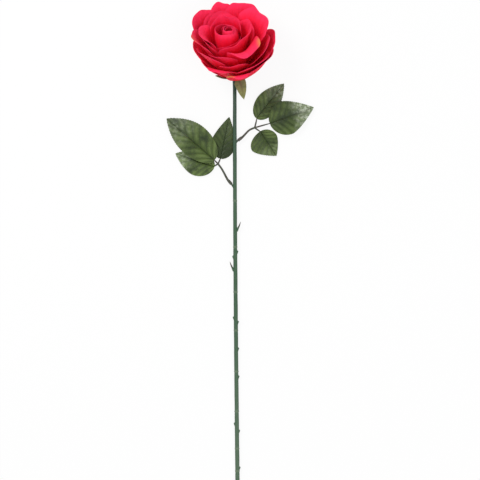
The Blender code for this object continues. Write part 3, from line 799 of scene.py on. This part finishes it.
def leafPoint(one, t, c, tooth=0.0):
    run = one["tip"] - one["base"]
    ahead = run.normalized()
    left = Vector((-ahead.y, ahead.x))
    half = (one["left"] if c > 0.0 else one["right"]) * leafHalfWidth(one, t)
    fold = one["folds"][0] if c > 0.0 else one["folds"][1]
    place = one["base"] + run * t + left * c * half
    place += (left * math.copysign(1.0, c) + ahead * 0.8) * tooth
    low, middle, high = one["heights"]
    spine = low * (1.0 - t) ** 2 + 2.0 * middle * t * (1.0 - t) + high * t * t
    spread = abs(c) * half
    return Vector((place.x, place.y, spine + fold * spread * (1.0 - 0.35 * abs(c))))


def buildLeaf(one):
    # saw teeth along the edge, the cloth quilted between its side veins
    rows = leafCut["teeth"] * leafCut["rows"]
    columns = leafCut["columns"]
    bm = bmesh.new()
    alongLayer = bm.verts.layers.float.new("along")
    acrossLayer = bm.verts.layers.float.new("across")
    grid = []
    for j in range(rows + 1):
        t = j / rows
        saw = (j % leafCut["rows"]) / leafCut["rows"]
        blade = saw if saw < 0.7 else (1.0 - saw) / 0.3 * 0.7
        tooth = leafCut["tooth"] * blade * smooth(t / 0.06)
        tooth *= smooth((1.0 - t) / 0.04)
        row = []
        for i in range(-columns, columns + 1):
            c = i / columns
            edge = tooth * smooth((abs(c) - 0.86) / 0.14)
            point = leafPoint(one, clamp(t, 0.008, 0.992), c, edge)
            wave = (t - abs(c) * 0.34 + c * c * 0.10) * leafLook["veins"] % 1.0
            inside = (smooth(abs(c) / 0.25) * smooth((1.0 - abs(c)) / 0.35)
                      * smooth(t / 0.1) * smooth((1.0 - t) / 0.2))
            point.z += leafCut["quilt"] * math.sin(math.pi * wave) * inside
            point.z -= 0.12 * smooth(1.0 - abs(c) / 0.08) * smooth(t / 0.1)
            vert = bm.verts.new(point)
            vert[alongLayer] = t
            vert[acrossLayer] = c
            row.append(vert)
        grid.append(row)
    sheetOf(bm, grid)
    area = flatArea(bm)
    name = one["name"]
    material = leafFinish(name + "_look", leafLook, one["paintedLight"], one["paintedSheen"])
    piece = finishMesh(name + "_cloth", bm, material)
    thicken(piece, leafCut["cloth"])
    dress(piece, "leaf_cloth", name)
    flat = tuple(side * toMetres for side in one["flat"])
    report(f"{name}: {area:.0f} square millimetres")


def stubLine(spray):
    heading = math.radians(spray["heading"])
    ahead = Vector((math.cos(heading), math.sin(heading), 0.0))
    reach = sheathRadius(spray["place"]) + gap + stalks["sleeveRadius"] * abs(ahead.y)
    return stemCentre(spray["place"]), ahead, reach / abs(ahead.x)


def ribRoute(one, count=6):
    points, radii = [], []
    for i in range(count + 1):
        share = i / count
        radius = stalks["ribRadius"] + (stalks["tipRadius"] - stalks["ribRadius"]) * share
        top = leafPoint(one, 0.03 + (stalks["ribShare"] - 0.03) * share, 0.0)
        points.append(top - Vector((0.0, 0.0, radius + leafCut["cloth"] / 2.0 + gap * 1.4)))
        radii.append(radius)
    return points, radii


def spread(radii, steps):
    # radii for a route whose spans were split into steps
    fine = []
    for low, high in zip(radii, radii[1:]):
        fine += [low + (high - low) * k / steps for k in range(steps)]
    return fine + [radii[-1]]


def buildStalk(spray, material):
    start, ahead, distance = stubLine(spray)
    mouth = start + ahead * distance
    fork = Vector(spray["route"][-1])
    length, thick, thin = stalks["sleeveLength"], stalks["sleeveRadius"], stalks["radius"]
    route = [mouth, mouth + ahead * length * 0.6, mouth + ahead * length]
    route += [Vector(p) for p in spray["route"]]
    radii = [thick, thick * 0.95, thin * 1.15] + [thin] * (len(route) - 3)
    bm = bmesh.new()
    rod(bm, throughPoints(route, 6), spread(radii, 6), 16)
    piece = finishMesh(spray["name"] + "_moulding", bm, material, 40.0)
    for one in spray["leaves"]:
        rib, widths = ribRoute(one)
        back = fork - (rib[0] - fork).normalized() * 0.1
        elbow = fork.lerp(rib[0], 0.5)
        elbow.z = rib[0].z + (fork.z - rib[0].z) * 0.2
        bm = bmesh.new()
        branch = stalks["branchRadius"]
        widths = [branch * 1.1, branch] + widths
        rod(bm, throughPoints([back, elbow] + rib, 4), spread(widths, 4), 12)
        join(piece, finishMesh("branch", bm, material), "UNION")
    bm = bmesh.new()
    hole = stalks["stubRadius"] + gap
    rod(bm, [start, start + ahead * (distance + stalks["grip"] + gap)], [hole, hole], 16)
    join(piece, finishMesh("socket", bm, material), "DIFFERENCE")
    dress(piece, "stalk_plastic", spray["name"])


# Bloom: die-cut petal layers and a rolled bud, in a frame at the top of the neck

def bloomFrame():
    axis = bloomAxis()
    lean = math.radians(bloom["lean"])
    right = Vector((math.cos(lean), math.sin(lean), 0.0))
    turned = Matrix((right, axis.cross(right), axis)).transposed().to_4x4()
    turned.translation = neckPoints(8.0)[-1] - axis * (bloom["socketTop"] - gap)
    return turned


bloomPlace = bloomFrame()


def collarHeight(depth):
    return bloom["calyxTop"] + bloom["collarGap"] + bloom["collarPitch"] * (depth + 1.0)


def meridian(depth):
    rows = bloom["meridians"]
    low = int(clamp(math.floor(depth), 0, len(rows) - 2))
    share = depth - low
    points = [(bloom["collarRadius"], collarHeight(depth))]
    for near, far in zip(rows[low], rows[low + 1]):
        points.append(((near[0] + (far[0] - near[0]) * share) * bloom["radius"],
                       (near[1] + (far[1] - near[1]) * share) * bloom["height"]))
    return points


def bloomPoint(angle, depth, reach, roll=0.0, start=1.0, lip=0.0):
    # reach runs from 0 on the collar to 1 at the meridian's end
    # past start the cloth rolls outwards
    points = meridian(depth)
    begin = min(reach, start)
    r, z = cubic(points, begin)
    near = cubic(points, begin - 0.02)
    step = (r - near[0], z - near[1])
    heading = math.atan2(step[1], step[0])
    turn = 0.0
    if reach > start:
        length = (reach - start) * math.hypot(*step) / 0.02
        turn = math.radians(roll) * (reach - start)
        if turn > 1e-4:
            radius = length / turn
            r += radius * (math.sin(heading) - math.sin(heading - turn))
            z += radius * (math.cos(heading - turn) - math.cos(heading))
        else:
            r += length * math.cos(heading)
            z += length * math.sin(heading)
    r += lip * math.sin(heading - turn)
    z -= lip * math.cos(heading - turn)
    closed = hill(math.degrees(angle) % 360.0, bloom["closedSide"], bloom["closedReach"])
    r *= 1.0 - bloom["closed"] * closed * (1.0 - 0.85 * smooth(z / bloom["closedHeight"]))
    high = clamp((z - bloom["shiftStart"]) / (bloom["height"] - bloom["shiftStart"]), 0.0, 1.1)
    pull = smooth((depth - 2.0) / 3.0) * high
    eye = smooth((depth - 5.0) / 2.0) * high
    x = r * math.cos(angle) + bloom["budShift"][0] * pull + bloom["eyeShift"][0] * eye
    y = r * math.sin(angle) + bloom["budShift"][1] * pull + bloom["eyeShift"][1] * eye
    place = Vector((x, y, z))
    wide, fine = bloom["wideCrease"], bloom["fineCrease"]
    creased = noise.noise_vector(place * wide[0]) * wide[1]
    creased += noise.noise_vector(place * fine[0]) * fine[1]
    return bloomPlace @ (place + creased * smooth((z - 12.0) / 25.0))


def petal(azimuth, width, depth, reach=1.0, roll=0.0, start=1.0, twist=0.16, flat=0.0,
          drop=0.2, tilt=0.0, stain=None):
    # angles in degrees; a stain has its place across and along, its width and depth, its strength
    return {"azimuth": azimuth, "width": width, "depth": depth, "reach": reach, "roll": roll,
            "start": start, "twist": twist, "flat": flat, "drop": drop, "tilt": tilt, "stain": stain}


petalLayers = {
    "outer_petals": (0, (
        petal(278, 26, -0.45, 1.10, roll=600, start=0.93, drop=0.30,
              stain=(-0.75, 0.94, 0.55, 0.32, 0.95)),
        petal(330, 42, 0.05, 1.02),
        petal(38, 42, -0.10, 0.94),
        petal(112, 44, -0.50, 0.92),
        petal(190, 40, 0.25, 0.70, twist=0.20),
    ), (108.0, 118.0), 7204.0),
    "second_petals": (1, (
        petal(243, 34, 0.85, 1.0, roll=420, start=0.84, drop=0.22),
        petal(312, 42, 0.95, 1.02, roll=60, start=0.8, twist=0.22),
        petal(6, 34, 0.85, 1.11, drop=0.24),
        petal(78, 42, 0.90, 1.0),
        petal(160, 42, 0.90, 0.96),
    ), (130.0, 119.0), 8577.0),
    "third_petals": (2, (
        petal(134, 30, 1.97, 1.10, drop=0.18),
        petal(215, 42, 2.0, 0.90, drop=0.16),
        petal(270, 40, 1.9, 0.80, roll=60, start=0.7),
        petal(345, 44, 1.90, 0.90),
        petal(66, 34, 2.15, 1.08, drop=0.14),
        petal(101, 26, 2.06, 1.08, drop=0.16),
    ), (130.0, 136.0), 10240.0),
    "fourth_petals": (3, (
        petal(190, 42, 3.1, 0.945, roll=90, start=0.8, drop=0.12,
              stain=(0.0, 1.0, 0.5, 0.10, 0.35)),
        petal(246, 42, 2.90, 0.84, roll=120, start=0.76),
        petal(306, 46, 3.50, 1.04, roll=390, start=0.80, drop=0.16,
              stain=(0.55, 1.02, 0.32, 0.12, 0.9)),
        petal(30, 42, 3.1, 1.03, roll=110, start=0.84, drop=0.14),
        petal(112, 42, 3.12, 0.92, drop=0.16),
    ), (147.0, 138.0), 9242.0),
    "inner_petals": (4, (
        petal(302, 66, 4.0, 0.97, flat=0.2, drop=0.1, tilt=0.12),
        petal(20, 40, 3.95, 0.96),
        petal(100, 56, 3.95, 0.94),
        petal(200, 52, 3.98, 0.86),
    ), (128.0, 130.0), 6474.0),
    "cup_petals": (5, (
        petal(176, 62, 4.72, 1.00, roll=330, start=0.80, twist=0.1),
        petal(300, 78, 5.18, 0.84, twist=0.1, drop=0.1),
        petal(76, 74, 4.95, 1.12, twist=0.1, drop=0.18),
    ), (120.0, 122.0), 4912.0),
}

petalCut = {
    "across": 34,            # columns of points on a petal
    "along": 36,             # rows from the collar to the rim
    "ruffle": 0.09,          # in layer depths
    "lip": 0.55,
    "ragged": 0.009,         # unevenness of the cut edge, as a share of the reach
}


def petalWidth(one, seam, v):
    waist = min(seam * 0.74, one["width"] * 0.7)
    if v < 0.14:
        return seam + (waist - seam) * smooth(v / 0.14)
    if v < 0.62:
        return waist + (one["width"] - waist) * smooth((v - 0.14) / 0.48)
    return one["width"] * (1.0 - 0.10 * smooth((v - 0.62) / 0.38))


def petalPoint(one, seam, layer, u, v):
    opened = smooth(v / 0.35)
    angle = math.radians(one["azimuth"] + u * petalWidth(one, seam(u), v))
    depth = layer + (one["depth"] - layer) * opened
    depth += one["twist"] * u * opened + one["flat"] * (1.0 - u * u) * smooth(v / 0.6)
    depth += petalCut["ruffle"] * v ** 3 * math.sin(6.0 * angle + 1.5 * depth)
    ragged = math.sin(7.3 * u + one["azimuth"]) + 0.35 * math.sin(13.0 * u + 2.0 * one["azimuth"])
    reach = one["reach"] * v * (1.0 - one["drop"] * abs(u) ** 2.6 * v * v)
    reach *= 1.0 + (petalCut["ragged"] * ragged + one["tilt"] * u) * v * v
    lip = petalCut["lip"] * smooth((v - 0.93) / 0.07)
    return bloomPoint(angle, depth, reach, one["roll"] * (1.0 - u ** 4), one["start"], lip)


def clothLayers(bm):
    return {key: bm.verts.layers.float.new(key) for key in ("rim", "side", "stain", "across", "along")}


def mark(vert, layers, rim, side, stain, across, along):
    vert[layers["rim"]] = rim
    vert[layers["side"]] = side
    vert[layers["stain"]] = stain
    vert[layers["across"]] = across
    vert[layers["along"]] = along


def stainAt(one, u, v):
    if not one["stain"]:
        return 0.0
    place, high, wide, deep, strength = one["stain"]
    return strength * smooth(1.0 - math.hypot((u - place) / wide, (v - high) / deep))


def buildPetals(name, plan, material):
    layer, lobes, flat, area = plan
    across, along = petalCut["across"], petalCut["along"]
    bm = bmesh.new()
    layers = clothLayers(bm)
    hole, petals = [], []
    count = len(lobes)
    for k, one in enumerate(lobes):
        before = (one["azimuth"] - lobes[k - 1]["azimuth"]) % 360.0 / 2.0
        after = (lobes[(k + 1) % count]["azimuth"] - one["azimuth"]) % 360.0 / 2.0

        def seam(u, before=before, after=after):
            return after if u > 0.0 else before

        grid = []
        for j in range(along + 1):
            v = j / along
            row = []
            for i in range(across + 1):
                if j == 0 and i == across:
                    row.append(None)
                    continue
                u = 2.0 * i / across - 1.0
                vert = bm.verts.new(petalPoint(one, seam, layer, u, v))
                mark(vert, layers, v, u, stainAt(one, u, v), u * 32.0 + k * 80.0, v * 85.0)
                row.append(vert)
            grid.append(row)
        petals.append(grid)
        height = collarHeight(layer)
        for vert in grid[0][:-1]:
            flatAt = bloomPlace.inverted() @ vert.co
            flatAt.z = 0.0
            spot = flatAt.normalized() * (bloom["pegRadius"] + gap) + Vector((0.0, 0.0, height))
            inner = bm.verts.new(bloomPlace @ spot)
            mark(inner, layers, 0.0, 0.0, 0.0, 0.0, 0.0)
            hole.append(inner)
    for k, grid in enumerate(petals):
        grid[0][-1] = petals[(k + 1) % count][0][0]
        sheetOf(bm, grid)
    base = [vert for grid in petals for vert in grid[0][:-1]]
    for i in range(len(base)):
        j = (i + 1) % len(base)
        bm.faces.new((hole[i], hole[j], base[j], base[i]))
    measured = flatArea(bm)
    piece = finishMesh(name + "_cloth", bm, material)
    thicken(piece, bloom["cloth"])
    slot = "bud_cloth" if name == "cup_petals" else "petal_cloth"
    dress(piece, slot, name)
    flat = tuple(side * toMetres for side in flat)
    area * toMetres ** 2
    report(f"{name}: {measured:.0f} square millimetres")


budWraps = {
    "bud_wrap_outer": {"from": 5.6, "to": 6.25, "start": 20.0, "turns": 1.3, "reach": 0.97,
                       "columns": 130, "flat": (51.0, 98.0), "area": 4119.0},
    "bud_wrap_inner": {"from": 6.35, "to": 6.95, "start": 200.0, "turns": 2.0, "reach": 0.97,
                       "columns": 150, "flat": (50.0, 94.0), "area": 4126.0},
}


def buildWrap(name, wrap, material):
    bm = bmesh.new()
    layers = clothLayers(bm)
    grid = []
    along = 34
    for j in range(along + 1):
        v = j / along
        row = []
        for i in range(wrap["columns"] + 1):
            u = i / wrap["columns"]
            angle = math.radians(wrap["start"] + 360.0 * wrap["turns"] * u)
            ends = 0.14 * abs(2.0 * u - 1.0) ** 4
            depth = wrap["from"] + (wrap["to"] - wrap["from"]) * u
            wave = 0.02 * math.sin(3.0 * angle)
            reach = 0.12 + (wrap["reach"] - 0.12 - ends + wave) * v
            vert = bm.verts.new(bloomPoint(angle, depth, reach))
            mark(vert, layers, v, 2.0 * u - 1.0, 0.0, u * 150.0, v * 60.0)
            row.append(vert)
        grid.append(row)
    sheetOf(bm, grid)
    measured = flatArea(bm)
    piece = finishMesh(name + "_cloth", bm, material)
    thicken(piece, bloom["cloth"])
    dress(piece, "bud_cloth", name)
    report(f"{name}: {measured:.0f} square millimetres")


sepals = {
    "reach": 0.40,
    "hanging": ((13.5, 4.2), (15.5, -7.0), (17.5, -19.0)),
    # azimuth in degrees and layer depth, the hanging one first
    "places": ((300, -1.0), (8, -1.4), (80, -1.4), (152, -1.4), (204, -0.60)),
    "width": 7.0,
    "across": 16,
    "along": 36,
    "flat": (60.0, 60.0),
    "area": 1177.0,
}


def sepalPoint(azimuth, hanging, seat, u, v):
    collar = bloom["collarRadius"]
    half = math.radians(36.0) * collar * (1.0 - smooth(v / 0.2))
    half += sepals["width"] * smooth(v / 0.3) * (1.0 - v ** 3.2)
    half = max(half, 0.25)
    angle = math.radians(azimuth)
    if not hanging:
        depth = -1.0 + (seat + 1.0) * smooth(v / 0.35)
        radius = cubic(meridian(depth), sepals["reach"] * v)[0]
        return bloomPoint(angle + u * half / radius, depth, sepals["reach"] * v)
    spine = cubic([(collar, collarHeight(-1.0))] + list(sepals["hanging"]), v)
    across = u * half
    if v == 0.0:
        angle += math.radians(36.0) * u
        across = 0.0
    out = Vector((math.cos(angle), math.sin(angle), 0.0))
    side = Vector((-math.sin(angle), math.cos(angle), 0.0))
    return bloomPlace @ (out * spine[0] + side * across + Vector((0.0, 0.0, spine[1])))


def buildSepals(material):
    across, along = sepals["across"], sepals["along"]
    bm = bmesh.new()
    layers = clothLayers(bm)
    stars = []
    for k, (azimuth, seat) in enumerate(sepals["places"]):
        grid = []
        for j in range(along + 1):
            row = []
            for i in range(across + 1):
                if j == 0 and i == across:
                    row.append(None)
                    continue
                u, v = 2.0 * i / across - 1.0, j / along
                vert = bm.verts.new(sepalPoint(azimuth, k == 0, seat, u, v))
                mark(vert, layers, v, u, 0.0, u * 6.0, v * 30.0)
                row.append(vert)
            grid.append(row)
        stars.append(grid)
    base, hole = [], []
    for k, grid in enumerate(stars):
        base += grid[0][:-1]
        grid[0][-1] = stars[(k + 1) % len(stars)][0][0]
        sheetOf(bm, grid)
    for vert in base:
        flatAt = bloomPlace.inverted() @ vert.co
        height = flatAt.z
        flatAt.z = 0.0
        spot = flatAt.normalized() * (bloom["pegRadius"] + gap) + Vector((0.0, 0.0, height))
        hole.append(bm.verts.new(bloomPlace @ spot))
    for i in range(len(base)):
        j = (i + 1) % len(base)
        bm.faces.new((hole[i], hole[j], base[j], base[i]))
    measured = flatArea(bm)
    piece = finishMesh("sepals_cloth", bm, material)
    thicken(piece, bloom["cloth"])
    dress(piece, "sepal_cloth", "sepals")
    report(f"sepals: {measured:.0f} square millimetres")


def buildCalyx(material):
    # a turned cup, ribbed a little on its outside
    socket = stem["neckRadius"] + gap
    hole = bloom["pegRadius"] + gap
    low, top, wide = bloom["calyxBottom"], bloom["calyxTop"], bloom["calyxRadius"]
    outside = []
    for i in range(17):
        share = i / 16.0
        r = socket + 0.8 + (wide - socket - 0.8) * smooth(share) ** 0.9
        outside.append((r, low + (top * 0.92 - low) * share))
    profile = [(socket, low)] + outside + [(wide * 0.97, top), (hole, top), (hole, bloom["socketTop"]),
                                           (socket, bloom["socketTop"])]
    bm = bmesh.new()
    segments = 60
    grid = []
    for k in range(segments):
        angle = 2.0 * math.pi * k / segments
        column = []
        for r, z in profile:
            ribbed = r + 0.10 * math.cos(10.0 * angle) * smooth((r - socket - 0.8) / 1.5)
            ribbed = min(ribbed, wide)
            spot = Vector((ribbed * math.cos(angle), ribbed * math.sin(angle), z))
            column.append(bm.verts.new(bloomPlace @ spot))
        grid.append(column)
    sheetOf(bm, grid + [grid[0]], around=True)
    piece = finishMesh("calyx_cup", bm, material, 40.0)
    dress(piece, "stem_plastic", "calyx")


buildStem()
report("stem is moulded")

stalkPlastic = stalkFinish("stalk_plastic_look", stalkLook)
for spray in sprays:
    buildStalk(spray, stalkPlastic)
for one in leaves:
    buildLeaf(one)
report("leaf sprays are done")

buildCalyx(stemFinish("calyx_plastic_look", stemLook))
buildSepals(sepalFinish("sepal_cloth_look", sepalLook))
petalCloth = petalFinish("petal_cloth_look", petalLook)
# the bud's cloth is the petal cloth a little darker, as painted shade in the bloom's centre
shadedBudCloth = petalFinish("shaded_bud_cloth_look", petalLook, 0.96)
for name, plan in petalLayers.items():
    buildPetals(name, plan, shadedBudCloth if name == "cup_petals" else petalCloth)
for name, wrap in budWraps.items():
    buildWrap(name, wrap, shadedBudCloth)
report("bloom is threaded on its peg")

kept = {
    "stem_wire": steelFinish("core_wire_look"),
    "bud_core": stemFinish("peg_plastic_look", stemLook),
}
for node, material in kept.items():
    for materialSlot in bpy.data.objects[node].material_slots:
        materialSlot.material = material

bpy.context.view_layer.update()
report("sizes are written")
